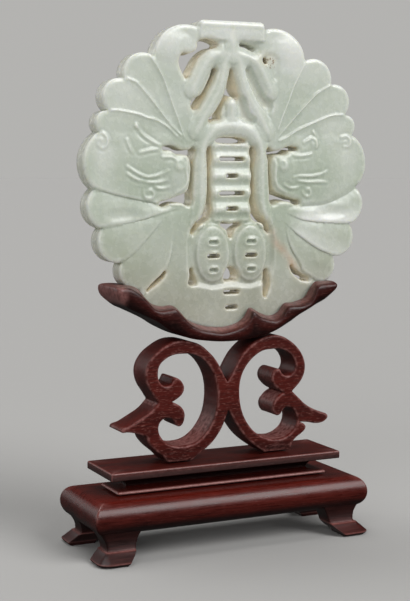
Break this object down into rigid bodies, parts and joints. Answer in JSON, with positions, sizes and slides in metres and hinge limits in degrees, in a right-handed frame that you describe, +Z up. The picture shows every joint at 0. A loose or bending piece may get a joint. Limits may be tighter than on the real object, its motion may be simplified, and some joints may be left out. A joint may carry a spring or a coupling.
{
  "type": "jade plaque on stand",
  "caption": "Pierced pale jade disc carved with facing bats and feathered wings, standing on edge in a scrolled hardwood stand with a footed base.",
  "frame": {"origin": "middle of the object's overall footprint, on the ground under the feet", "axes": "+X to the viewer's right along the stand, +Y from the carved front to the plainer back, +Z up"},
  "size_m": [0.0608, 0.0236, 0.099],
  "materials": {
    "jade": "waxy polish, slightly translucent",
    "cradle_wood": "satin wax polish",
    "scroll_wood": "satin wax polish, open pores",
    "plinth_wood": "satin wax polish",
    "base_wood": "satin wax polish"
  },
  "bodies": {
    "root": {"jade_plaque": "jade", "cradle": "cradle_wood", "scroll_support": "scroll_wood", "stepped_plinth": "plinth_wood", "base": "base_wood"}
  },
  "joints": []
}
